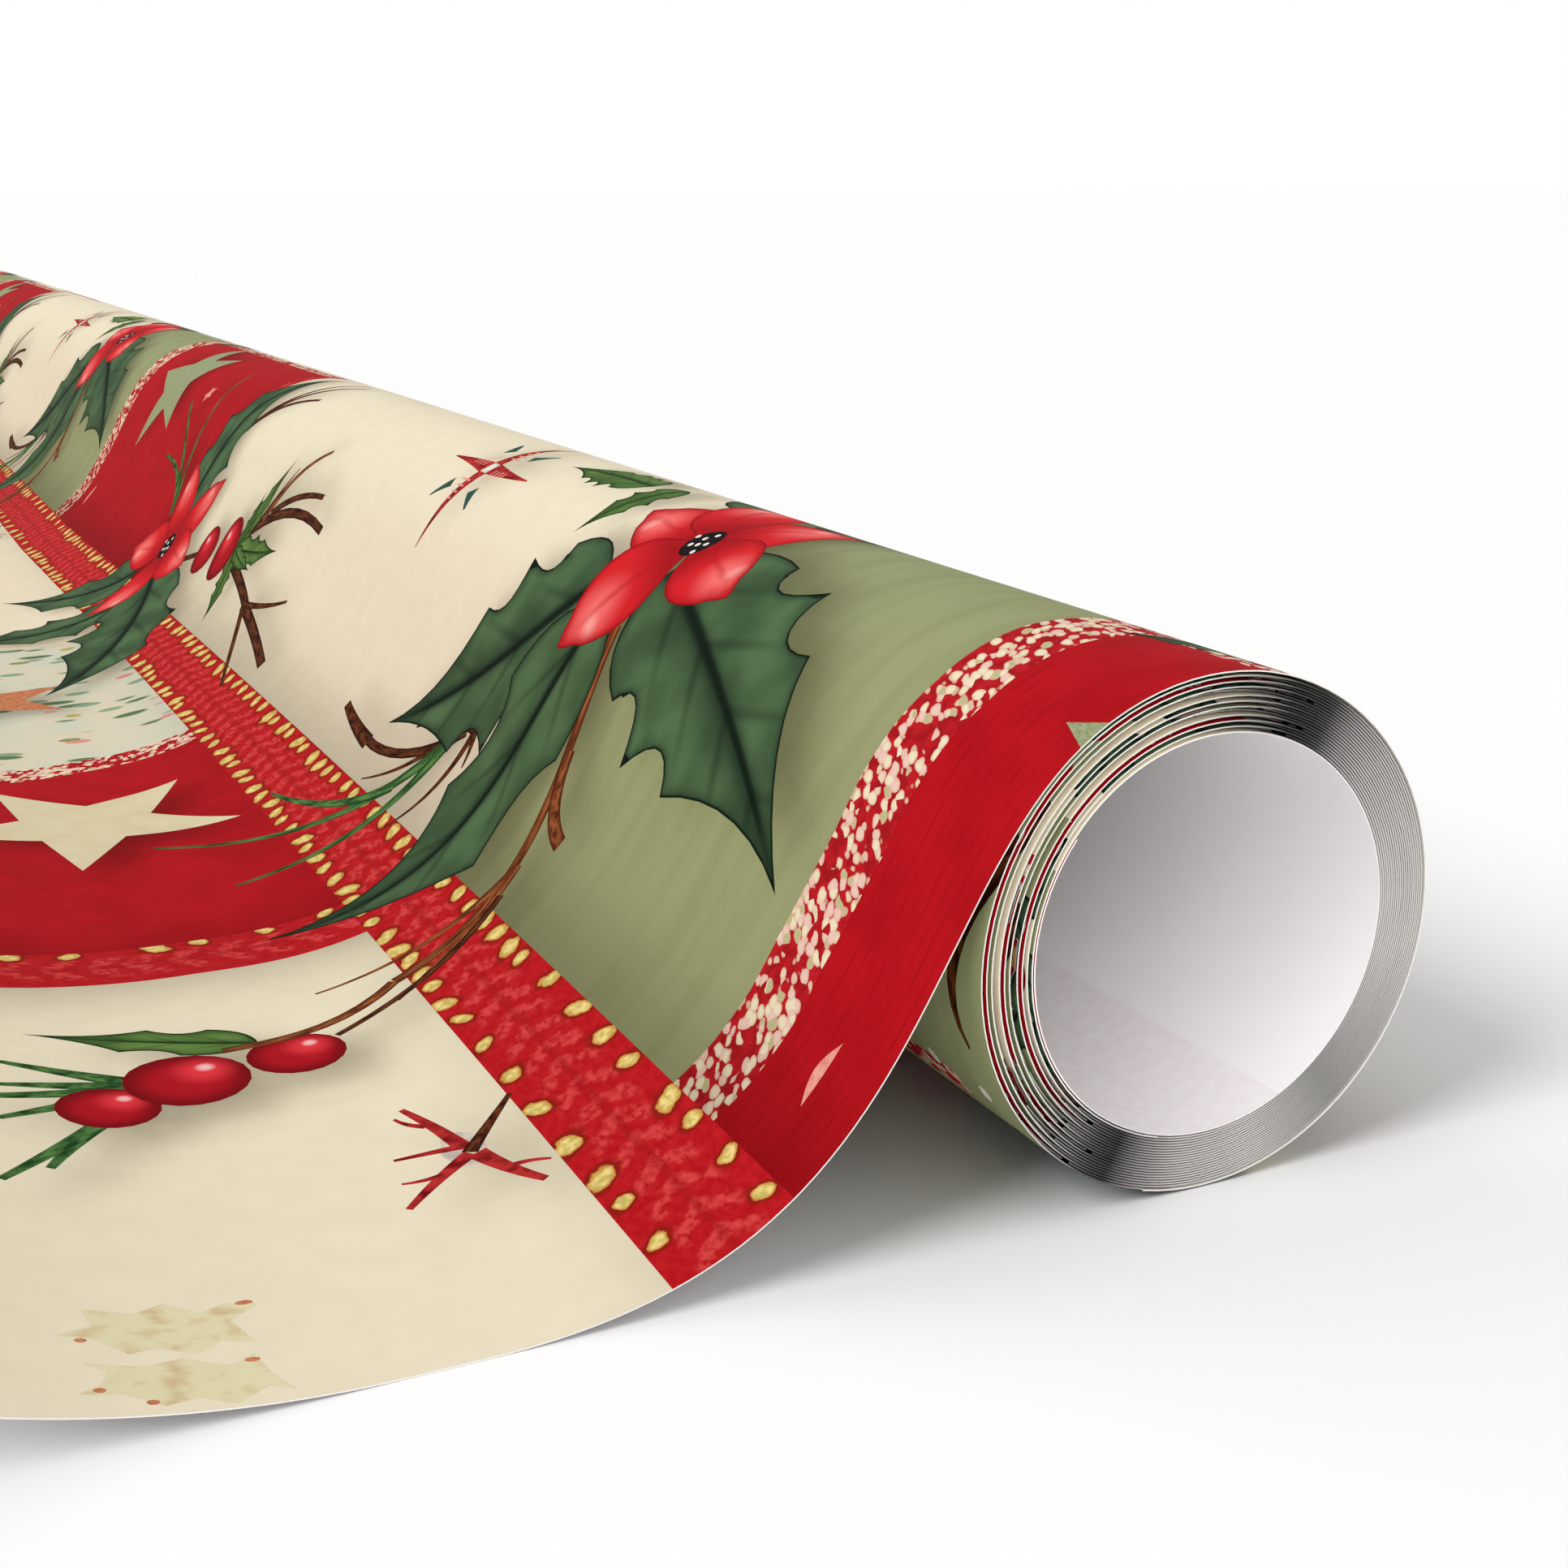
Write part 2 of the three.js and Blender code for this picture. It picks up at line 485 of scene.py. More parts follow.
GROUNDS = {
    "cream": mottled((0.862, 0.775, 0.578), (0.838, 0.75, 0.556), 0.3),
    "sage": mottled((0.325, 0.346, 0.174), (0.292, 0.312, 0.15), 0.35, 6.0),
    "corduroy": corduroy,
    "braid": braid,
    "confetti": confetti,
    "scrap": mottled((0.78, 0.72, 0.46), (0.66, 0.5, 0.27), 0.5, 1.0, 0.45, 0.75),
}
# The print's soft shadows fall on GROUNDS and not on MOTIFS.
MOTIFS = {
    "ribbon": ribbon,
    "ribbon_side": side_ribbon,
    "leaf": leaf((0.088, 0.164, 0.072), (0.023, 0.048, 0.023), (0.004, 0.01, 0.006)),
    "bright_leaf": leaf((0.15, 0.27, 0.06), (0.03, 0.08, 0.018), (0.008, 0.026, 0.006)),
    "petal": petal,
    "berry": berry,
    "twig": stalk((0.15, 0.042, 0.012), (0.026, 0.005, 0.003)),
    "stem": stalk((0.34, 0.105, 0.03), (0.085, 0.018, 0.006)),
    "needle": stalk((0.1, 0.23, 0.06), (0.01, 0.052, 0.014)),
    "heart": mottled((0.006, 0.005, 0.005), (0.02, 0.01, 0.01)),
    "pollen": mottled((0.88, 0.86, 0.8), (0.7, 0.64, 0.55)),
    "cream_star": mottled((0.72, 0.64, 0.42), (0.68, 0.59, 0.37), 0.25),
    "sage_star": mottled((0.36, 0.4, 0.23), (0.24, 0.27, 0.13), 1.6, 0.3),
    "rust_star": mottled((0.62, 0.25, 0.12), (0.48, 0.13, 0.05), 1.5),
    "mark": mottled((0.5, 0.03, 0.028), (0.17, 0.004, 0.006), 0.7),
    "blot": mottled((0.72, 0.62, 0.5), (0.48, 0.42, 0.38), 0.5),
    "teal": mottled((0.02, 0.07, 0.055), (0.05, 0.11, 0.08)),
    "olive": mottled((0.2, 0.24, 0.06), (0.36, 0.34, 0.12)),
    "pink": mottled((0.8, 0.36, 0.3), (0.7, 0.22, 0.18)),
}
INKS = {name: ink(name + "_print", paint, group is GROUNDS)
        for group in (GROUNDS, MOTIFS) for name, paint in group.items()}
# How strongly each ink shows through on the white side.
GHOST_SHARE = {"corduroy": 1.0, "ribbon": 0.9, "braid": 0.5, "petal": 0.9, "berry": 0.9,
               "sage": 0.4, "leaf": 0.6}


def back_material():
    """The white unprinted side, where the print shows through very faintly."""
    shader = Shader("paper_back")
    fleck = step(noise(*shader.place("sheet"), 0.9, 4.0), 0.4, 0.62)
    ghost = shader.attribute("ghost") * (-0.55 * fleck + 1.0)
    white = mix(ghost, (0.9, 0.885, 0.88), (0.865, 0.8, 0.8))
    return shader.paper(white, *BACK_SURFACE)


def edge_material():
    """The cut edge: bare white fibres."""
    shader = Shader("paper_edge")
    fibre = step(noise(*shader.place("sheet"), 4.0, 4.0), 0.3, 0.7)
    fresh = mix(fibre, (0.8, 0.77, 0.72), (0.93, 0.905, 0.88))
    return shader.paper(fresh, *EDGE_SURFACE)


PAPER_BACK = back_material()
PAPER_EDGE = edge_material()

# ---------------- drawing the print

# One printed shape: its outline in (u, v), its ink, the line that its own coordinates follow, the half width
# that counts as 1 across, the line's bow, the blur of its painted shadow or 0, and its margin's outline.
Shape = namedtuple("Shape", "points ink start end half bend casts rim", defaults=(None,))
FINE, BROAD = 1.9, 5.0
CURVE_POINTS = 9


def arrays(*points):
    return [np.array(point, float) for point in points]


def outline_only(points, colour, casts=0):
    points = np.array(points, float)
    low, high = points.min(0), points.max(0)
    return Shape(points, colour, low, np.array([high[0], low[1]]), 1.0, 0.0, casts)


def several(draw, rows):
    """The shapes of several motifs of one kind, in order."""
    return [shape for row in rows for shape in draw(*row)]


def bezier(start, via, end, count=CURVE_POINTS):
    t = np.linspace(0, 1, count)[:, None]
    start, via, end = arrays(start, via, end)
    return (1 - t) ** 2 * start + 2 * t * (1 - t) * via + t**2 * end


def across_way(way):
    """The way turned a quarter round to the left."""
    return np.array([-way[1], way[0]])


def direction(angle):
    return np.array([math.cos(angle), math.sin(angle)])


def along_line(start, end, along, across, bend=0.0):
    """Points given along (0 to 1) and across (mm) a line that bows sideways by bend."""
    start, end, along, across = arrays(start, end, along, across)
    line = end - start
    side = across_way(line) / np.hypot(*line)
    bow = bend * 4 * along * (1 - along)
    return start + np.outer(along, line) + np.outer(across + bow, side)


def motif_place(shape, points):
    """A shape's own coordinates at points: 0 to 1 along its line, -1 to 1 across it."""
    line = shape.end - shape.start
    length = np.hypot(*line)
    unit = line / length
    offset = points - shape.start
    along = offset @ unit / length
    across = offset @ across_way(unit) - shape.bend * 4 * along * (1 - along)
    return columns(along, across / shape.half)


def with_inner(points, start, end, along, across, bend, half, colour):
    """A painted shape and, inside it, the line where its soft margin ends."""
    narrower = np.maximum(0.3, 1 - SOFT_RIM / half)
    inner = along_line(start, end, 0.04 + 0.92 * along, across * narrower, bend)
    line = arrays(start, end)
    return [Shape(points, colour, *line, half, bend, FINE, points),
            Shape(inner, colour, *line, half, bend, 0, points)]


HOLLY_FIRST, HOLLY_SPAN = 0.12, 0.52
HOLLY_REACH = 1.08
HOLLY_HOLLOW = 0.44


def holly_margin(spines, shift):
    """One side of a holly leaf, as (share of its length, share of its half width)."""
    share = (np.arange(spines) + 0.5) / spines
    stations = HOLLY_FIRST + HOLLY_SPAN * share + shift
    reach = HOLLY_REACH * np.sin(np.pi * (0.22 + 0.62 * share))
    knots = np.array([(0, 0), *zip(stations, reach), (1, 0)])
    margin = []
    for k, (first, last) in enumerate(zip(knots[:-1], knots[1:])):
        via = (first + last) / 2 + [-0.03, 0]
        if k == 0:
            via = np.array([0.2 * last[0], 0.95 * last[1]])
        elif k == spines:
            via = np.array([0.6 * first[0] + 0.4, 0.16 * first[1]])
        else:
            via[1] *= HOLLY_HOLLOW
        margin.extend(bezier(first, via, last, 8)[:-1])
    return np.array(margin + [[1.0, 0.0]])


def holly(start, end, half, spines=3, bend=0.0, colour="leaf"):
    """A holly leaf: a pointed oval whose margin runs in hollow curves between spines."""
    one, other = (holly_margin(spines, shift) for shift in (0.0, 0.06))
    along = joined(one[:, 0], other[-2:0:-1, 0])
    across = half * joined(one[:, 1], -0.94 * other[-2:0:-1, 1])
    points = along_line(start, end, along, across, bend)
    return with_inner(points, start, end, along, across, bend, half, colour)


PETAL_FROM = 1.5


def bloom_petal(centre, angle, length, half):
    """One petal: a full teardrop with a pointed end, a little off the flower's middle."""
    way = direction(math.radians(angle))
    start, end = centre + PETAL_FROM * way, centre + length * way
    along = np.linspace(0, 1, 15)
    across = half * np.sin(np.pi * along**0.85) ** 0.75 * (1.12 - 0.35 * along)
    across[along > 0.8] *= 0.82
    across[0], across[-1] = 0.3 * half, 0
    along = joined(along, along[-2::-1])
    across = joined(across, -across[-2::-1])
    points = along_line(start, end, along, across)
    return with_inner(points, start, end, along, across, 0.0, half, "petal")


def ellipse(centre, radius_u, radius_v, colour, count=20, casts=FINE):
    angle = np.linspace(0, 2 * np.pi, count, endpoint=False)
    points = np.array(centre) + columns(radius_u * np.cos(angle), radius_v * np.sin(angle))
    start, end = (np.array(centre, float) + [side * radius_u, 0] for side in (-1, 1))
    return [Shape(points, colour, start, end, radius_v, 0.0, casts)]


GRAINS = 7
GRAIN_TURN = 2.4


def flower(centre, petals):
    """Petals round a dark middle with pale grains; petals lists angle, length and half width."""
    centre = np.array(centre, float)
    shapes = several(bloom_petal, [(centre, *one) for one in petals])
    shapes += ellipse(centre, 2.5, 2.2, "heart", 14, 0)
    for k in range(GRAINS):
        shapes += ellipse(centre + direction(GRAIN_TURN * k) * (0.5 + 0.27 * k), 0.34, 0.34, "pollen", 8, 0)
    return shapes


def stroke(start, via, end, width, colour, tip=0.25):
    """A tapering curved stroke, such as a twig or a needle."""
    middle = bezier(start, via, end)
    heading = np.gradient(middle, axis=0)
    side = columns(-heading[:, 1], heading[:, 0]) / np.hypot(*heading.T)[:, None]
    half = np.linspace(width, width * tip, len(middle))[:, None] / 2
    points = joined(middle + side * half, (middle - side * half)[::-1])
    start, via, end = arrays(start, via, end)
    line = end - start
    bow = (via - (start + end) / 2) @ across_way(line) / np.hypot(*line) / 2
    return [Shape(points, colour, start, end, width / 2, bow, FINE)]


def star(centre, radius, turn, colour, inner=0.42):
    angle = np.radians(turn + 36 * np.arange(10))
    reach = np.where(np.arange(10) % 2 == 0, radius, radius * inner)
    points = np.array(centre) + columns(reach * np.cos(angle), reach * np.sin(angle))
    return [outline_only(points, colour, FINE)]


def band(u0, u1, v0, v1, colour, wave=0.0):
    """A patch with straight sides, or with slightly wavering ones."""
    across = np.linspace(u0, u1, max(2, int((u1 - u0) / 4)) if wave else 2)
    along = np.linspace(v0, v1, max(2, int((v1 - v0) / 5)) if wave else 2)
    ripple = wave * np.sin(across * 0.45 + v0)
    low = columns(across, v0 + ripple)
    high = columns(across, v1 + ripple)[::-1]
    right = columns(u1 + wave * 0.6 * np.sin(along * 0.31), along)[1:-1]
    left = columns(u0 + wave * 0.6 * np.sin(along * 0.27), along)[::-1][1:-1]
    return [outline_only(joined(low, right, high, left), colour)]


def ribbon_band(start, end, half=RIBBON_HALF, bend=0.0, colour="ribbon"):
    along = np.linspace(0, 1, 2 + int(np.hypot(*np.subtract(end, start)) / 6))
    both = joined(along, along[::-1])
    across = joined(half + 0 * along, -half + 0 * along)
    points = along_line(start, end, both, across, bend)
    return [Shape(points, colour, *arrays(start, end), half, bend, BROAD)]


# Two columns of the print make its repeat round the roll, tiles its repeat along it. Each tile lies a little
# further round than the one before.
TILE_V = 309
TILE_DRIFT = 1.8
CELL_U = 115
RIGHT, LEFT = (-17.5, 36), (40, 95)


def twigs(root, ends, width):
    """Strokes that fan out of one root, each bowed a little, to either side in turn."""
    shapes = []
    for k, end in enumerate(ends):
        line = np.subtract(end, root)
        via = np.add(root, line / 2) + across_way(line) * (0.1 if k % 2 else -0.12)
        shapes += stroke(root, via, end, width, "twig")
    return shapes


def patches():
    """The fixed ground of the first column: patches, trims and short ribbons."""
    return [
        *band(-20, 36, 16, 79, "sage"),
        *band(*RIGHT, -69, 14, "corduroy", 0.15),
        *ribbon_band((-20, -70.2), (36, -70.2), 1.6),
        *band(-20, 36, 12.4, 19.4, "braid", 0.22),
        *band(-19.6, -17.2, -69, 15, "braid", 0.15),
        *band(*LEFT, 80, 154, "corduroy"),
        outline_only([(40, 152.5), (95, 138), (95, 222), (40, 222)], "confetti"),
        outline_only([(40, 150.6), (95, 136), (95, 141.5), (40, 155.6)], "braid"),
        *ribbon_band((40, 76.5), (95, 75.5), 4.4, 1.0, "ribbon_side"),
    ]


def stars():
    return several(star, [
        ((58.5, 124.2), 17.3, -81, "cream_star"),
        ((62.5, 188), 12.5, 5, "rust_star"),
        ((-1.6, 296.2), 16.2, 91, "sage_star"),
        ((-1, 270), 2, 70, "pink", 0.5),
    ])


def snow_mark(centre, reach):
    """A small four-armed mark with leaflets between its arms."""
    centre = np.array(centre)
    shapes = []
    for k in range(4):
        way = direction(k * math.pi / 2)
        side = across_way(way)
        far, near = centre + way * reach, centre + way * reach * 0.08
        shapes += stroke(near, (near + far) / 2 + side * 0.3, far, 2.4, "mark", 0.1)
        slant = (way + side) / math.sqrt(2) * reach
        shapes += stroke(centre + slant * 0.42, centre + slant * 0.52 + side * 0.3, centre + slant * 0.72,
                         1.9, "teal", 0.2)
        for share in (0.22, 0.3, 0.38, 0.46):
            root = centre + way * reach * share
            shapes += stroke(root, root + side, root + side * (4.2 - 7 * share), 0.35, "pink", 0.6)
    return shapes + ellipse(centre, 0.8, 0.8, "pollen", 8, 0)


def twig_mark(centre):
    """A small cross of broken twigs."""
    shapes = ellipse(np.add(centre, (0.6, 0.4)), 1.7, 3.0, "blot", 7, 0)
    for start, via, end, width, colour in (
        ((0.6, 1.0), (1.4, 5.6), (2.7, 9.4), 1.3, "mark"),
        ((1.9, 5.6), (3.2, 6.6), (3.6, 8.2), 0.7, "mark"),
        ((0, 0.6), (2.5, 1.5), (5.5, 1.6), 1.0, "mark"),
        ((0.4, -0.6), (3.4, -2.4), (6.6, -6.1), 1.4, "mark"),
        ((3.0, -2.4), (4.6, -2.6), (6.0, -2.2), 0.7, "mark"),
        ((0, -0.8), (-1.0, -4.6), (-2.8, -8.0), 1.6, "mark"),
        ((-1.2, -4.4), (-2.6, -4.4), (-4.0, -5.8), 0.7, "mark"),
        ((0.4, -0.4), (-1.6, 2.2), (-4.8, 5.5), 1.3, "twig"),
    ):
        ends = (np.add(centre, point) for point in (start, via, end))
        shapes += stroke(*ends, width, colour, 0.4)
    return shapes


def spray():
    """The first spray: a flower with holly leaves, a berry stem, twigs and needles."""
    shapes = twigs((19.4, 88.3), [(32.8, 91.7), (22.8, 102.8), (23.3, 86.4)], 1.3)
    shapes += several(stroke, [
        ((20, 90), (28, 101), (27.2, 113), 1.4, "twig", 0.8),
        ((27.4, 112), (27, 119), (25.6, 125), 1.9, "twig", 0.6),
        ((24, 96), (28, 100), (30.8, 106), 0.9, "twig"),
        ((21, 92), (34.4, 103.5), (53.3, 112), 2.1, "needle"),
        ((29, 98), (36, 104), (38.9, 118.9), 2.0, "needle"),
        ((20, 92), (34, 98), (48.3, 95), 2.1, "needle"),
        ((4, 69.5), (24, 64), (42, 59.5), 1.7, "stem", 0.8),
        ((42, 59.5), (49, 54), (58, 54), 1.3, "stem", 0.8),
        ((27, 62.8), (34, 64.8), (48.3, 62.5), 1.3, "stem"),
        ((27, 62.8), (37, 60.5), (42.8, 55.6), 1.3, "stem"),
        ((16, 66), (22, 64.5), (23.3, 58.3), 2.1, "stem", 0.8),
        ((30, 61.5), (40, 58), (48.9, 52.8), 1.1, "twig", 0.6),
    ])
    shapes += several(holly, [
        ((-14, 97), (-12.2, 116.9), 4.2, 4, 0.6, "bright_leaf"),
        ((-16, 92), (-2.8, 93.3), 3.5, 3, -0.6, "bright_leaf"),
        ((0, 78), (24.4, 110.6), 11.0, 3, -2.0),
        ((2, 74), (49.7, 78), 9.8, 2, 2.0),
        ((-3, 68), (16.4, 22.6), 12.0, 3, -1.6),
        ((-16, 74), (-46, 96), 10.5, 3, 1.0),
        ((-17, 66), (-50, 50), 9.0, 3, -0.8),
    ])
    return shapes + flower((-7.4, 69.7), [
        (225, 16, 5.2), (-72, 15.5, 5.3), (97, 16.5, 5.3), (149, 18, 5.8), (31, 18.5, 6.5)])


def berries():
    """Berries at the end of the spray's stem, with their leaf and needles."""
    shapes = []
    for tip in [(75, 54.8), (75.6, 50), (76.3, 43.3), (73.9, 34.2), (77.4, 32.2), (81, 47)]:
        shapes += stroke((64, 48.5), (70, (tip[1] + 48.5) / 2 + 0.8), tip, 2.3, "needle", 0.3)
    shapes += holly((55, 54.4), (72.6, 61.1), 2.9, 2, 0.5, "bright_leaf")
    for centre, wide, tall in [((68.3, 45), 3.9, 3.9), ((61.7, 49.1), 4.9, 5.1), ((52.7, 50.9), 4.0, 4.0)]:
        shapes += ellipse(centre, wide, tall, "berry")
    return shapes


def second_spray():
    """The second spray, further along: a flower over two berries, with leaves on each side."""
    shapes = several(stroke, [
        ((20, 204), (22, 190), (24.4, 182), 1.9, "twig", 0.85),
        ((24.2, 184), (26, 172), (28.8, 160), 1.9, "twig", 0.8),
        ((24.2, 184), (30, 176), (34.4, 165), 1.3, "twig", 0.4),
        ((24.2, 184), (23, 175), (20.3, 167), 1.2, "twig", 0.4),
        ((16.9, 202.5), (7, 188), (10, 167.5), 1.9, "twig", 0.7),
        ((11.5, 194), (6.5, 186), (5.9, 173.8), 1.4, "twig", 0.6),
        ((13, 196), (4, 192), (-0.4, 182.8), 1.4, "stem", 0.5),
        ((15, 199), (8, 194), (3.8, 191.5), 1.1, "twig"),
    ])
    for tip, wide in [((30, 195), 2.4), ((2.5, 195.3), 2.2), ((8.8, 201.3), 1.8), ((15.4, 182.5), 2.8),
                      ((20, 191), 1.8)]:
        shapes += holly((18.5, 203), tip, wide, 3, 0.4, "bright_leaf")
    for tip in [(12, 273), (1.5, 277), (-8, 262)]:
        shapes += stroke((20, 250), (12, 256), tip, 1.6, "needle", 0.4)
    for tip in [(-7.8, 214.4), (-16, 216), (-18, 221)]:
        shapes += stroke((1.9, 231), (-6, 224), tip, 1.4, "twig", 0.5)
    shapes += several(holly, [
        ((20, 243), (-17.5, 230.6), 8.6),
        ((32, 236), (66, 226), 7.4, 3, 0.8),
        ((29, 236), (54.4, 188.8), 9.6, 3, -0.8),
        ((31, 245), (52, 261), 8.4, 2),
    ])
    shapes += stroke((25, 228), (24, 225), (22, 219), 1.2, "twig", 0.9)
    shapes += ellipse((21.3, 217.5), 4.2, 4.2, "berry") + ellipse((19.4, 207.5), 5.4, 4.5, "berry")
    return shapes + flower((24.6, 240.3), [
        (-13, 18, 4.6), (79, 18, 5.2), (150, 17, 5.0), (224, 20, 4.2), (-87, 15, 5.2)])


def sliver():
    """A small pink half moon on the corduroy."""
    share = np.linspace(0, 1, 9)
    return [outline_only(along_line((22, 6), (27, 6), share, 1.2 * np.sin(np.pi * share)), "pink")]


def scrap():
    """Two ragged faded tiers with rusty dots."""
    upper = [(64.5, 1.2), (66, 1.9), (68, 0.4), (70, 1.5), (72, 0.9), (74, 2.4), (76.5, 2.6), (75.2, 3.6),
             (74.5, 5.2), (75.9, 6.2), (72.5, 5.6), (70, 6.2), (67.5, 4.8), (66, 5.9), (65.4, 3.4)]
    lower = [(65.5, 7.2), (67.5, 7.8), (69, 6.6), (71.5, 7.6), (73, 7.1), (75, 9.3), (77, 9.6), (74.6, 10.8),
             (74.9, 13), (72, 12.1), (70, 13.2), (68, 11.6), (66.3, 12.6), (64.3, 12.0), (66.4, 10.2)]
    dots = (((66.2, 5.2), 0.5), ((65.2, 12.3), 0.6), ((75.3, 3.0), 0.4), ((72.6, 1.4), 0.4), ((75.5, 9), 0.4))
    return [outline_only(tier, "scrap") for tier in (upper, lower)] + several(
        ellipse, [(spot, wide, 0.3, "rust_star", 7, 0) for spot, wide in dots])


def small_marks():
    shapes = snow_mark((-6.9, 130.4), 13) + twig_mark((45.6, 26.7)) + sliver()
    for spot, wide in (((55, 212), 1.5), ((54.8, 162.8), 1.4), ((66, 168), 1.2)):
        shapes += ellipse(spot, wide, 0.8, "olive", 9, 0)
    return shapes + scrap()


def second_patches():
    """The ground of the second column: the same elements in another order."""
    return [
        *band(-20, 36, -14, 66, "sage"),
        *band(24.5, 27.5, 8, 66, "braid", 0.15),
        *band(*RIGHT, 68, 146, "corduroy", 0.15),
        *band(-20, 36, 63, 69, "braid", 0.22),
        *ribbon_band((-20, 147.5), (36, 147.5), 1.8),
        *band(*LEFT, 200, 262, "corduroy", 0.15),
        *band(*LEFT, 2, 62, "confetti", 0.4),
        *band(*LEFT, 61, 68, "braid", 0.3),
        *ribbon_band((40, 196), (95, 196), 4.4, -1.0, "ribbon_side"),
    ]


def berry_sprig(u, v):
    """Two small leaves and two berries."""
    return (holly((u, v), (u + 8, v + 9), 2.8) + holly((u, v), (u - 7, v + 7), 2.4)
            + ellipse((u, v), 1.9, 1.9, "berry") + ellipse((u + 2.6, v - 2.2), 1.7, 1.7, "berry"))


def second_motifs():
    shapes = star((8, 106), 15, 75, "cream_star") + star((66, 232), 16, -60, "sage_star")
    shapes += star((70, 32), 11, 40, "rust_star") + snow_mark((62, 108), 12) + snow_mark((4, 285), 7)
    shapes += stroke((4.5, -0.5), (15, 6), (20, 2.8), 2.4, "twig", 0.15) + holly((38, -16), (40, 36), 10)
    for spot in ((24.5, 3.9), (24.2, 10.6)):
        shapes += ellipse(spot, 0.8, 0.6, "pollen", 8, 0)
    shapes += several(berry_sprig, ((50, -5), (58, 4), (84, -4), (92, 5), (-9, -3)))
    for shift, group in (((4, 118), spray()), ((-52, 112), berries())):
        shapes += [moved(shape, *shift) for shape in group]
    return shapes


def moved(shape, du, dv):
    shift = np.array([du, dv], float)
    return shape._replace(points=shape.points + shift, start=shape.start + shift, end=shape.end + shift,
                          rim=None if shape.rim is None else shape.rim + shift)


def column_ribbon():
    """The long ribbon of every column, one tile long, so that copies meet end to end."""
    return ribbon_band((36.4, 0), (36.4 + TILE_DRIFT, TILE_V), bend=0.9)


COLUMNS = (
    patches() + column_ribbon() + stars() + small_marks() + berries() + second_spray() + spray(),
    second_patches() + column_ribbon() + second_motifs(),
)
MOTIF_REACH = 90


def repeats(low, high, pitch):
    """The repeats of the print whose shapes may reach into a window."""
    return range(math.floor((low - MOTIF_REACH) / pitch), math.ceil((high + MOTIF_REACH) / pitch) + 1)


def shapes_in(u0, u1, v0, v1, finest=0.0):
    """Every printed shape that reaches into a window of the web, undermost first."""
    found = []
    for cell in repeats(u0, u1, CELL_U):
        for tile in repeats(v0, v1, TILE_V):
            for order, shape in enumerate(COLUMNS[cell % 2]):
                placed = moved(shape, cell * CELL_U + tile * TILE_DRIFT, tile * TILE_V)
                low, high = placed.points.min(0), placed.points.max(0)
                inside_window = low[0] < u1 and high[0] > u0 and low[1] < v1 and high[1] > v0
                if inside_window and min(high - low) >= finest:
                    found.append((order, placed))
    return [shape for _, shape in sorted(found, key=lambda pair: pair[0])]


def inside(points, outline):
    """Which points lie inside a closed outline, by the even-odd rule."""
    low, high = outline.min(0), outline.max(0)
    answer = np.zeros(len(points), bool)
    near = np.flatnonzero(((points >= low) & (points <= high)).all(1))
    x, y = points[near].T
    odd = np.zeros(len(near), bool)
    for (x0, y0), (x1, y1) in zip(outline, np.roll(outline, -1, 0)):
        if y0 != y1:
            odd ^= ((y0 > y) != (y1 > y)) & (x < (x1 - x0) * (y - y0) / (y1 - y0) + x0)
    answer[near] = odd
    return answer


def depth_inside(points, outline):
    """How far each point is from the nearest side of an outline."""
    side = np.roll(outline, -1, 0) - outline
    offset = points[:, None] - outline
    share = np.clip((offset * side).sum(2) / np.maximum((side**2).sum(1), TINY), 0, 1)
    return np.linalg.norm(offset - share[..., None] * side, axis=2).min(1)


# ---------------- the print's painted shadows

SHADE_STEP = 0.5
SHADE_SHIFT = {FINE: (-2.2, -3.2), BROAD: (-3.5, -1.0)}
SHADE_DEPTH = {FINE: 0.85, BROAD: 1.0}


def shade_map():
    """Soft shadows of the shapes over one repeat of the print, on a fine grid that wraps round."""
    width, height = 2 * CELL_U, TILE_V
    u = np.arange(0, width, SHADE_STEP)
    v = np.arange(0, height, SHADE_STEP)
    grid = np.stack(np.meshgrid(u, v, indexing="ij"), -1).reshape(-1, 2)
    fu = np.fft.fftfreq(len(u), SHADE_STEP)[:, None]
    fv = np.fft.fftfreq(len(v), SHADE_STEP)[None, :]
    light = np.ones((len(u), len(v)))
    for blur in (FINE, BROAD):
        mask = np.zeros(len(grid), bool)
        for shape in shapes_in(0, width, 0, height):
            if shape.casts == blur:
                mask |= inside(grid, shape.points + SHADE_SHIFT[blur])
        soft = np.exp(-2 * (np.pi * blur) ** 2 * (fu**2 + fv**2))
        spread = np.fft.ifft2(np.fft.fft2(mask.reshape(light.shape)) * soft).real
        light *= 1 - SHADE_DEPTH[blur] * spread
    return 1 - light


SHADE = shade_map()


def shade_at(points):
    drift = TILE_DRIFT * np.floor(points[:, 1] / TILE_V)
    row = np.round((points[:, 0] - drift) / SHADE_STEP).astype(int) % SHADE.shape[0]
    column = np.round(points[:, 1] / SHADE_STEP).astype(int) % SHADE.shape[1]
    return SHADE[row, column]


# ---------------- cutting a piece of paper out of the print

DIP_FROM, DIP_TO, DIP_EASE = 62, 238, 16
DIP_REACH = 0.01
# How far in from the near edge the painted edge shade reaches, in millimetres.
EDGE_SHADE_REACH = 1.2
# Painted shade on the coil's near edges: how dark they are at each angle round it, in degrees.
EDGE_SHADE = {-12: 0.22, 20: 0.3, 40: 0.42, 52: 0.62, 60: 0.985, 70: 0.98, 80: 0.66, 98: 0.12, 110: 0, 205: 0,
        222: 0.3, 236: 0.94, 243: 0.985, 250: 0.72, 262: 0.36, 285: 0.28, 310: 0.62, 348: 0.27}


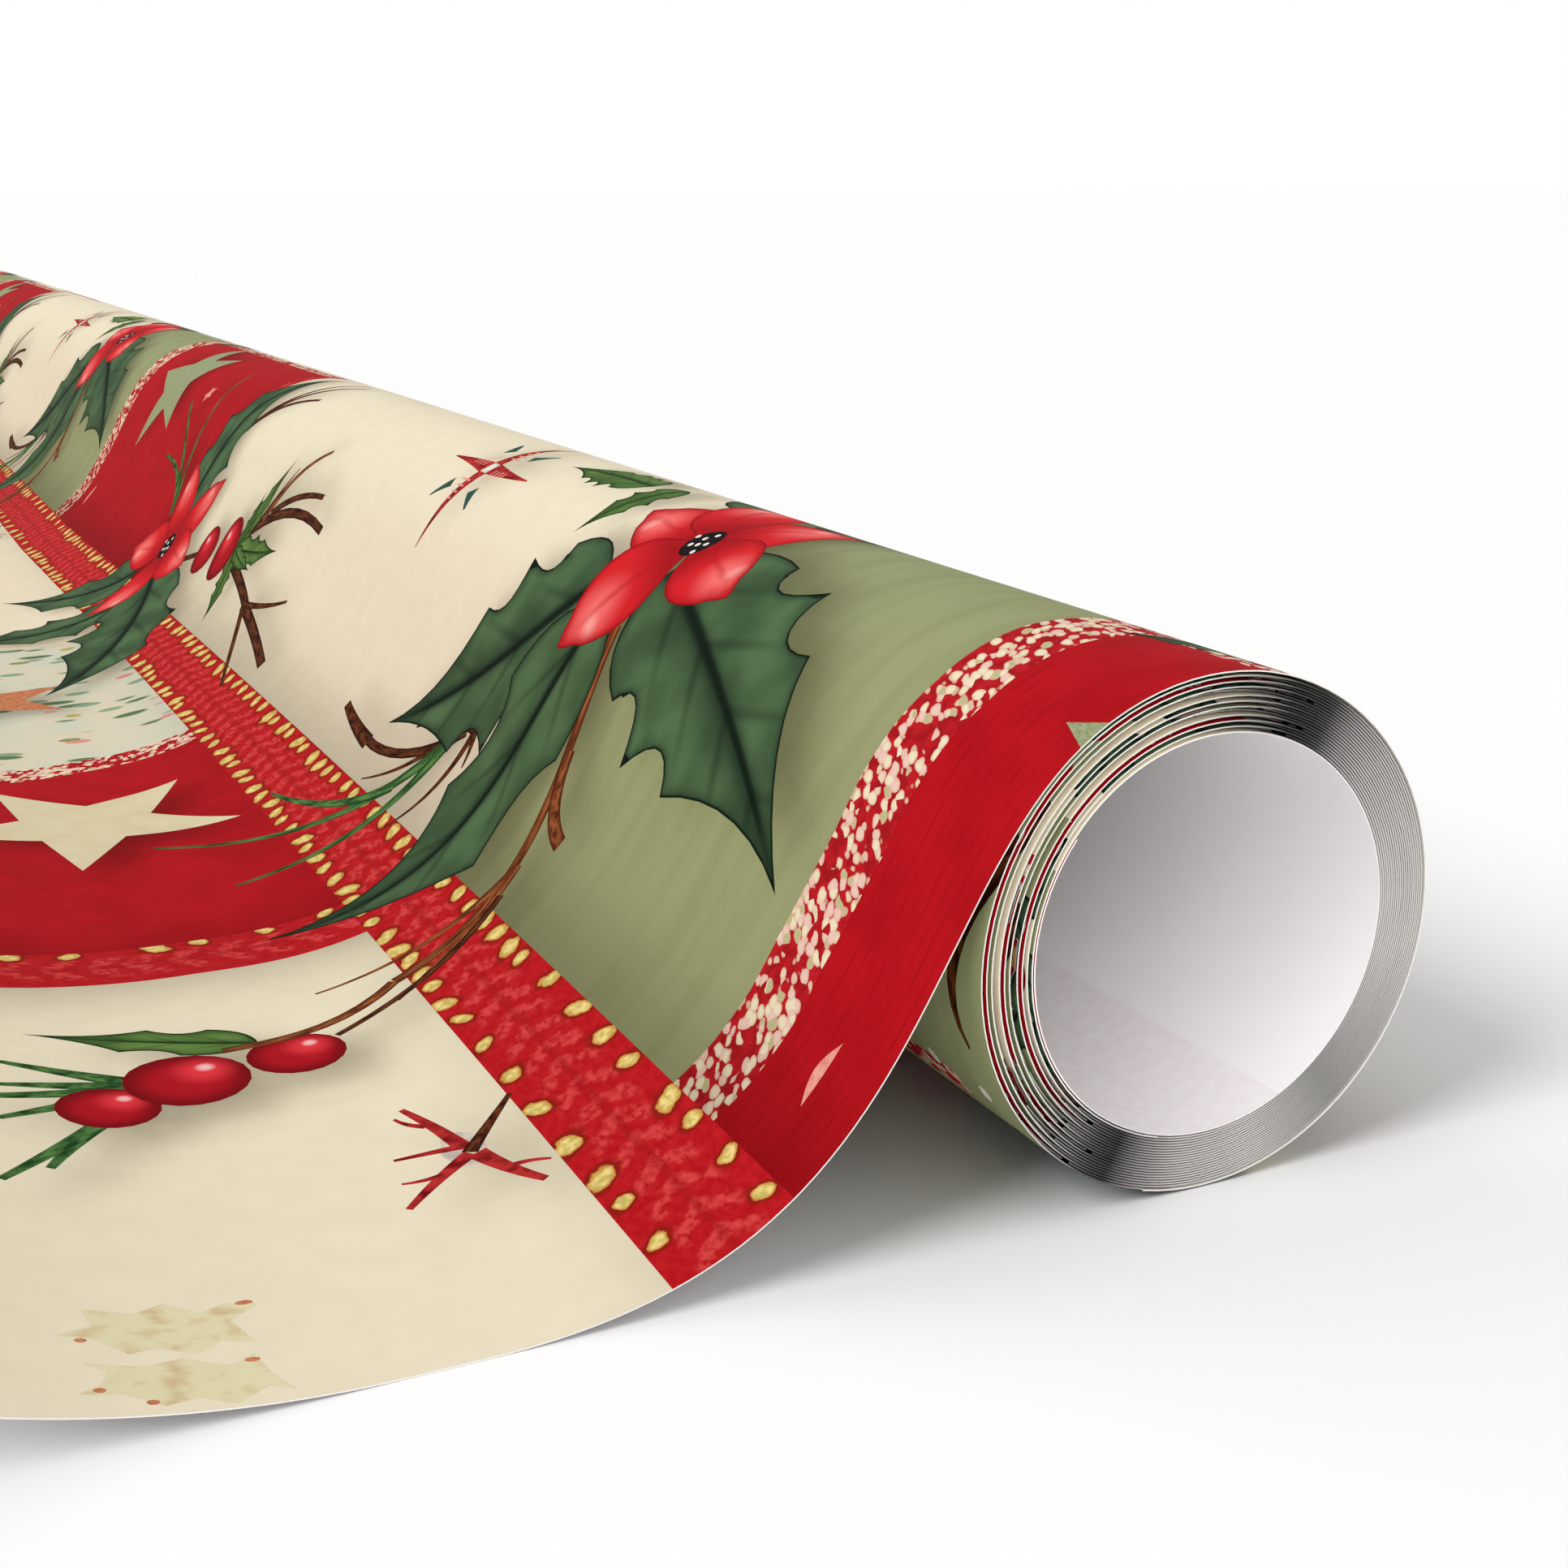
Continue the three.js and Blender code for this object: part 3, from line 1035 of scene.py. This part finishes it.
def bendable(outline, spacing):
    """The outline with points added, so that no side spans more than spacing along u."""
    after = np.roll(outline, -1, 0)
    counts = np.maximum(1, np.ceil(np.abs(after[:, 0] - outline[:, 0]) / spacing).astype(int))
    return np.concatenate([first + np.linspace(0, 1, count, endpoint=False)[:, None] * (last - first)
                           for first, last, count in zip(outline, after, counts)])


def triangulate(u0, u1, shapes, lines, fill):
    """Triangles over the window u0..u1 whose edges follow every outline.
    lines are the places along u where the paper may bend; fill is the spacing of extra points across it,
    or None to draw each line right across instead."""
    points = [Vector(corner) for corner in ((u0, 0), (u1, 0), (u1, WEB_WIDTH), (u0, WEB_WIDTH))]
    edges = [(0, 1), (1, 2), (2, 3), (3, 0)]
    for shape in shapes:
        outline = shape.points if fill is None else bendable(shape.points, lines[1] - lines[0])
        first = len(points)
        points += [Vector(point) for point in outline]
        count = len(outline)
        edges += [(first + k, first + (k + 1) % count) for k in range(count)]
    for u in lines:
        first = len(points)
        if fill is None:
            # Each line gets a point where the painted shade on the near edge ends.
            points += [Vector((u, v)) for v in (0, EDGE_SHADE_REACH, WEB_WIDTH)]
            edges += [(first, first + 1), (first + 1, first + 2)]
        else:
            points += [Vector((u, v)) for v in np.linspace(0, WEB_WIDTH, int(WEB_WIDTH / fill) + 1)]
    made = delaunay_2d_cdt(points, edges, [], 0, MERGE, False)
    place = np.array([tuple(point) for point in made[0]])
    faces = np.array([tuple(face) for face in made[2] if len(face) == 3])
    centre = place[faces].mean(1)
    kept = (centre[:, 0] > u0) & (centre[:, 0] < u1) & (centre[:, 1] > 0) & (centre[:, 1] < WEB_WIDTH)
    used, renumbered = np.unique(faces[kept], return_inverse=True)
    return place[used], renumbered.reshape(-1, 3)


def boundary_edges(faces):
    """Edges with one triangle, in that triangle's direction."""
    edges = joined(faces[:, [0, 1]], faces[:, [1, 2]], faces[:, [2, 0]])
    _, index, count = np.unique(np.sort(edges, 1), axis=0, return_index=True, return_counts=True)
    return edges[index[count == 1]]


def angle_round(x, z):
    return np.degrees(np.arctan2(z - AXIS_Z, x - AXIS_X)) % 360


def dip_share(x, z):
    """1 where the printed side of the coil can be seen past its edges, 0 on the other side."""
    angle = angle_round(x, z)
    return smooth((angle - DIP_FROM) / DIP_EASE) * smooth((DIP_TO - angle) / DIP_EASE)


# Painted shade on the coil's near edges, by angle round the roll, out to its reach from the near edge.
def edge_shade_at(x, z, v):
    return np.interp(angle_round(x, z), list(EDGE_SHADE), list(EDGE_SHADE.values())) * (v < EDGE_SHADE_REACH - DIP_REACH)


def rolled(path, place, dip):
    """The flat points put on the path: the paper's middle surface and its outward normals."""
    x, z, nx, nz = on_path(path, place[:, 0])
    y = NEAR_Y + place[:, 1] + dip * dip_share(x, z) * (place[:, 1] < DIP_REACH)
    return columns(x, y, z), columns(nx, np.zeros(len(x)), nz)


def facing_out(faces, middle, outward):
    """The triangles, each turned so that it faces the printed side."""
    a, b, c = middle[faces].transpose(1, 0, 2)
    facing = (np.cross(b - a, c - a) * outward[faces[:, 0]]).sum(1)
    return np.where(facing[:, None] > 0, faces, faces[:, ::-1])


def printed(place, faces, shapes, inks):
    """Each face's ink, and its corners' places on their motif and depth inside the motif's margin."""
    centre = place[faces].mean(1)
    slot = np.full(len(faces), inks.index("cream"))
    motif, depth = np.zeros((2, len(faces), 3, 2))
    for shape in shapes:
        hit = inside(centre, shape.points)
        slot[hit] = inks.index(shape.ink)
        scale = (np.hypot(*(shape.end - shape.start)), shape.half) if shape.casts == BROAD else (1, 1)
        at = place[faces[hit]].reshape(-1, 2)
        motif[hit] = motif_place(shape, at).reshape(-1, 3, 2) * scale
        if shape.rim is not None and hit.any():
            depth[hit, :, 0] = np.minimum(depth_inside(at, shape.rim), SOFT_RIM).reshape(-1, 3)
    return slot, motif.reshape(-1, 2), depth.reshape(-1, 2)


def put_values(mesh, name, domain, *values):
    values = np.concatenate(values).astype(np.float32)
    mesh.attributes.new(name, "FLOAT", domain).data.foreach_set("value", values)


def flat_normals(quads):
    flat = np.cross(quads[:, 1] - quads[:, 0], quads[:, 3] - quads[:, 0])
    return flat / np.maximum(np.linalg.norm(flat, axis=1, keepdims=True), TINY)


def add_object(name, data):
    made = bpy.data.objects.new(name, data)
    bpy.context.scene.collection.objects.link(made)
    return made


def paper_piece(name, path, lines, fill=None, finest=0.0, dip=0.0, hollow=False):
    """One thin closed sheet: printed side out, white side in, and a cut edge all round. It may bend at lines.
    dip sinks the near edge on the side of the roll that faces the paper's free end. hollow is set for the
    innermost turn, whose white side lies open to the light and so gets no painted edge shade."""
    u0, u1 = lines[0], lines[-1]
    shapes = shapes_in(u0, u1, 0, WEB_WIDTH, finest)
    place, faces = triangulate(u0, u1, shapes, lines, fill)
    middle, outward = rolled(path, place, dip)
    faces = facing_out(faces, middle, outward)
    count = len(place)
    back = faces[:, ::-1] + count
    first, last = boundary_edges(faces).T
    edge = columns(last, first, first + count, last + count)
    vertices = joined(middle + outward * PAPER / 2, middle - outward * PAPER / 2) * MM
    mesh = bpy.data.meshes.new(name)
    mesh.from_pydata(vertices.tolist(), [], faces.tolist() + back.tolist() + edge.tolist())

    inks = sorted({shape.ink for shape in shapes} | {"cream"})
    for material in (*(INKS[colour] for colour in inks), PAPER_BACK, PAPER_EDGE):
        mesh.materials.append(material)
    slot, motif, depth = printed(place, faces, shapes, inks)
    slots = joined(slot, np.full(len(back), len(inks)), np.full(len(edge), len(inks) + 1))
    mesh.polygons.foreach_set("material_index", slots.astype(np.int32))
    mesh.polygons.foreach_set("use_smooth", np.ones(len(mesh.polygons), bool))

    loops = joined(faces.ravel(), back.ravel(), edge.ravel())
    unprinted = np.zeros((back.size + edge.size, 2))
    for layer, values in (("sheet", place[loops % count]), ("motif", joined(motif, unprinted)),
                          ("rim", joined(depth, unprinted))):
        mesh.uv_layers.new(name=layer).data.foreach_set("uv", values.ravel())
    if fill is None:
        # Painted shade on the turns' near edges, and none on the innermost turn's white side.
        edge_shade = edge_shade_at(middle[:, 0], middle[:, 2], place[:, 1])
        ghost = np.array([GHOST_SHARE.get(colour, 0.0) for colour in inks])[slot]
        put_values(mesh, "edge_shade", "POINT", edge_shade, 0 * edge_shade if hollow else edge_shade)
        put_values(mesh, "ghost", "FACE", 0 * ghost, ghost, np.zeros(len(edge)))
    else:
        put_values(mesh, "shade", "POINT", shade_at(place), np.zeros(count))

    cut = np.repeat(flat_normals(vertices[edge]), 4, 0)
    normals = joined(outward[faces.ravel()], -outward[faces[:, ::-1].ravel()], cut)
    mesh.normals_split_custom_set(normals.tolist())
    return add_object(name, mesh)


# ---------------- the pieces

WEB = web_path()
LEAD_U = lead_path().u[-1]
WRAP_START_U = WEB.u[0]
FREE_EDGE_U = WEB.u[-1]
LAID_MIDDLE_U = LEAD_U + LAID_LENGTH / 2
WEB_LINE_STEP = 1.3
WEB_FILL = 3.0
TURN_FINEST = 1.0
PROUD_TURNS = (21, 19, 17, 14, 12, 10, 7, 5, 3, 1)
EDGE_DIP = 0.75
PRINT_SLIP = 60


def bend_lines(u0, u1):
    return np.linspace(u0, u1, math.ceil((u1 - u0) / WEB_LINE_STEP) + 1)


def outer_wrap():
    piece = paper_piece("printed_wrap", WEB, bend_lines(WRAP_START_U, 0), WEB_FILL)
    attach(piece, "roll")
    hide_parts("wrap_under", "wrap_side", "wrap_over")
    return piece


def lead_sheet():
    """From the roll to the table."""
    piece = paper_piece("printed_lead", WEB, bend_lines(0, LAID_MIDDLE_U), WEB_FILL)
    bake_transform(piece)
    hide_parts("lead_out")
    return piece


def free_sheet():
    """The strip on the table and the free end, which bends up over a short roll of the paper."""
    piece = paper_piece("printed_free_end", WEB, bend_lines(LAID_MIDDLE_U, FREE_EDGE_U), WEB_FILL)
    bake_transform(piece)
    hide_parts("laid_sheet", "free_end")
    return piece


def coil():
    """The turns inside the wrap, outermost first, each cut from the next stretch of the print."""
    end_u = WRAP_START_U
    pieces = []
    for number in range(COIL_TURNS, 0, -1):
        path = turn_path(number, end_u)
        piece = paper_piece(f"printed_turn_{number:02d}", path, path.u[::FACET_SAMPLES], finest=TURN_FINEST,
                            dip=0 if number in PROUD_TURNS else EDGE_DIP, hollow=number == 1)
        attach(piece, "coil" if number == COIL_TURNS else f"turn_{number:02d}")
        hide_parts(f"turn_{number:02d}")
        pieces.append(piece)
        end_u = path.u[0] - PRINT_SLIP
    return pieces


# ---------------- camera, floor and light

# The camera's place is in roll radii from the roll's axis, its near end and the table.
CAMERA_RIGHT = -4.6013
CAMERA_BACK = 5.9054
CAMERA_HEIGHT = 3.6647
CAMERA_AIM = (0.41897, 0.86595, -0.27312)
CAMERA_LENS = 48.78
SENSOR_WIDTH = 36
NEAREST_SEEN = 0.01
FLOOR_HALF = 12.0
FLOOR_DROP = 0.00002
FLOOR_WHITE = (0.97, 0.97, 0.97)


def camera():
    data = bpy.data.cameras.new("camera")
    data.lens = CAMERA_LENS
    data.sensor_width = SENSOR_WIDTH
    data.clip_start = NEAREST_SEEN
    made = add_object("camera", data)
    made.location = (
        (AXIS_X + CAMERA_RIGHT * ROLL_RADIUS) * MM,
        (NEAR_Y - CAMERA_BACK * ROLL_RADIUS) * MM,
        CAMERA_HEIGHT * ROLL_RADIUS * MM,
    )
    made.rotation_euler = Vector(CAMERA_AIM).to_track_quat("-Z", "Y").to_euler()
    bpy.context.scene.camera = made


def floor():
    mesh = bpy.data.meshes.new("floor")
    corners = [(x * FLOOR_HALF, y * FLOOR_HALF, 0) for x, y in ((-1, -1), (1, -1), (1, 1), (-1, 1))]
    mesh.from_pydata(corners, [], [(0, 1, 2, 3)])
    mesh.materials.append(Shader("floor").cover(FLOOR_WHITE, 0.9, 0.1))
    made = add_object("floor", mesh)
    made.location.z = -FLOOR_DROP
    return made


AMBIENT = 0.5
# Each light's way, strength and spread in degrees.
SUNS = {
    "key": ((0.8, 0.16, -0.62), 2.15, 30),
    "back": ((0.42, -0.65, -0.62), 0.6, 55),
    "paper_key": ((0.5, 0.2, -0.8), 1.42, 60),
    "front": ((0.25, 0.9, -0.35), 0.9, 50),
    "inner": ((0.55, 0.8, -0.24), 0.75, 50),
}


def sun(name, pieces):
    """A broad soft light that reaches the pieces only."""
    way, strength, spread = SUNS[name]
    data = bpy.data.lights.new(name, "SUN")
    data.energy = strength
    data.angle = math.radians(spread)
    made = add_object(name, data)
    made.rotation_euler = Vector(way).to_track_quat("-Z", "Y").to_euler()
    lit = bpy.data.collections.new(f"{name}_lit")
    for piece in pieces:
        lit.objects.link(piece)
    made.light_linking.receiver_collection = lit


def world():
    """Even white surroundings: a soft fill on the object, plain white behind it."""
    made = bpy.data.worlds.new("studio")
    bpy.context.scene.world = made
    made.use_nodes = True
    nodes, links = made.node_tree.nodes, made.node_tree.links
    background = nodes["Background"]
    background.inputs["Color"].default_value = (1, 1, 1, 1)
    seen = nodes.new("ShaderNodeMapRange")
    seen.inputs["To Min"].default_value = AMBIENT
    seen.inputs["To Max"].default_value = 1.0
    links.new(nodes.new("ShaderNodeLightPath").outputs["Is Camera Ray"], seen.inputs["Value"])
    links.new(seen.outputs["Result"], background.inputs["Strength"])


def studio(table, paper):
    world()
    inner = [bpy.data.objects["printed_turn_01"]]
    lit = {"key": [table], "back": [table], "paper_key": paper, "front": paper, "inner": inner}
    for name, pieces in lit.items():
        sun(name, pieces)
    bpy.context.scene.view_settings.view_transform = "Standard"


camera()
paper = [outer_wrap(), lead_sheet(), free_sheet(), *coil()]
studio(floor(), paper)
